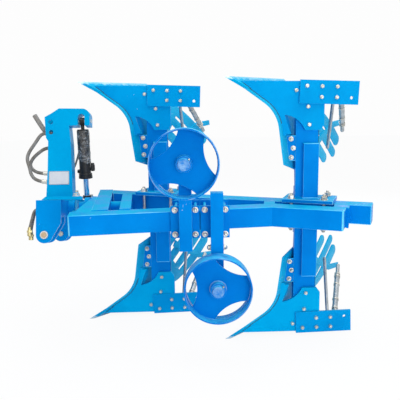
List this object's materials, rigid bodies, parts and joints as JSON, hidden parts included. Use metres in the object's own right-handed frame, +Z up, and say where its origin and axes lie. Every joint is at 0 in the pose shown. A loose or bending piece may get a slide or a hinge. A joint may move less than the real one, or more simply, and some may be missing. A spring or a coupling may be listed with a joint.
{
  "type": "reversible mounted plough",
  "caption": "Reversible moldboard plough for a tractor's three-point linkage, with slatted mouldboards above and below a turning frame and gauge wheels beside it.",
  "frame": {"origin": "middle of the footprint of the whole plough, on the floor under the lower share edges", "axes": "+X to the rear of the plough, +Y to its right, +Z up"},
  "size_m": [1.871, 1.214, 1.39],
  "materials": {
    "blue_paint": "gloss",
    "share_steel": "worn satin",
    "zinc": "zinc plated",
    "grey_steel": "satin",
    "chrome": "polished",
    "black_paint": "semi-gloss",
    "hose_rubber": "matt",
    "brass": "yellow passivated",
    "plate_aluminium": "blank plate"
  },
  "bodies": {
    "headstock": {"cylinder_pin": "zinc", "data_plate": "plate_aluminium", "headstock_tube": "blue_paint", "hitch_pin_far": "zinc", "hitch_pin_near": "zinc", "hitch_plates_far": "blue_paint", "hitch_plates_near": "blue_paint", "hose_long": "hose_rubber", "hose_short": "hose_rubber", "hose_sleeve": "hose_rubber", "mast": "blue_paint", "quick_couplers": "brass", "turnover_stop_far": "blue_paint", "turnover_stop_near": "blue_paint", "valve_block": "black_paint"},
    "frame": {"beam_far": "blue_paint", "beam_near": "blue_paint", "bend_piece": "blue_paint", "cross_front": "blue_paint", "cross_rear": "blue_paint", "end_piece": "blue_paint", "front_clamp_bolts": "zinc", "front_lower_braces": "grey_steel", "front_lower_frog": "blue_paint", "front_lower_landside": "blue_paint", "front_lower_leg": "blue_paint", "front_lower_mouldboard": "blue_paint", "front_lower_share": "share_steel", "front_upper_braces": "grey_steel", "front_upper_frog": "blue_paint", "front_upper_landside": "blue_paint", "front_upper_leg": "blue_paint", "front_upper_mouldboard": "blue_paint", "front_upper_share": "share_steel", "rear_clamp_bolts": "zinc", "rear_lower_braces": "grey_steel", "rear_lower_frog": "blue_paint", "rear_lower_landside": "blue_paint", "rear_lower_leg": "blue_paint", "rear_lower_mouldboard": "blue_paint", "rear_lower_share": "share_steel", "rear_upper_braces": "grey_steel", "rear_upper_frog": "blue_paint", "rear_upper_landside": "blue_paint", "rear_upper_leg": "blue_paint", "rear_upper_mouldboard": "blue_paint", "rear_upper_share": "share_steel", "stop_lug": "blue_paint", "turnover_shaft": "blue_paint", "wheel_arm_lower": "blue_paint", "wheel_arm_upper": "blue_paint", "wheel_saddle_lower": "blue_paint", "wheel_saddle_upper": "blue_paint", "yoke": "blue_paint"},
    "wheel_upper": {"wheel_upper": "blue_paint"},
    "wheel_lower": {"wheel_lower": "blue_paint"},
    "cylinder_barrel": {"cylinder_barrel": "black_paint"},
    "cylinder_rod": {"cylinder_rod": "chrome"}
  },
  "joints": [
    {"name": "turnover", "type": "hinge", "parent": "headstock", "child": "frame", "pos_m": [0.026, -0.00903, 0.695], "axis": [1, 0, 0], "range_deg": [0, 155]},
    {"name": "wheel_upper_turn", "type": "hinge", "parent": "frame", "child": "wheel_upper", "pos_m": [-0.082, -0.55403, 0.99], "axis": [0, 1, 0], "continuous": true},
    {"name": "wheel_lower_turn", "type": "hinge", "parent": "frame", "child": "wheel_lower", "pos_m": [0.066, -0.55403, 0.4], "axis": [0, 1, 0], "continuous": true},
    {"name": "cylinder_swing", "type": "hinge", "parent": "headstock", "child": "cylinder_barrel", "pos_m": [-0.676, 0.0966, 1.17143], "axis": [-1, 0, 0], "range_deg": [0, 29.66]},
    {"name": "rod_slide", "type": "slide", "parent": "cylinder_barrel", "child": "cylinder_rod", "axis": [0, 0.0406, -0.9992], "range_m": [-0.1, 0]}
  ],
  "couplings": [
    {"joint": "cylinder_swing", "follows": "turnover", "ratio": 0.19134},
    {"joint": "rod_slide", "follows": "turnover", "m_per_rad": -0.036965}
  ]
}
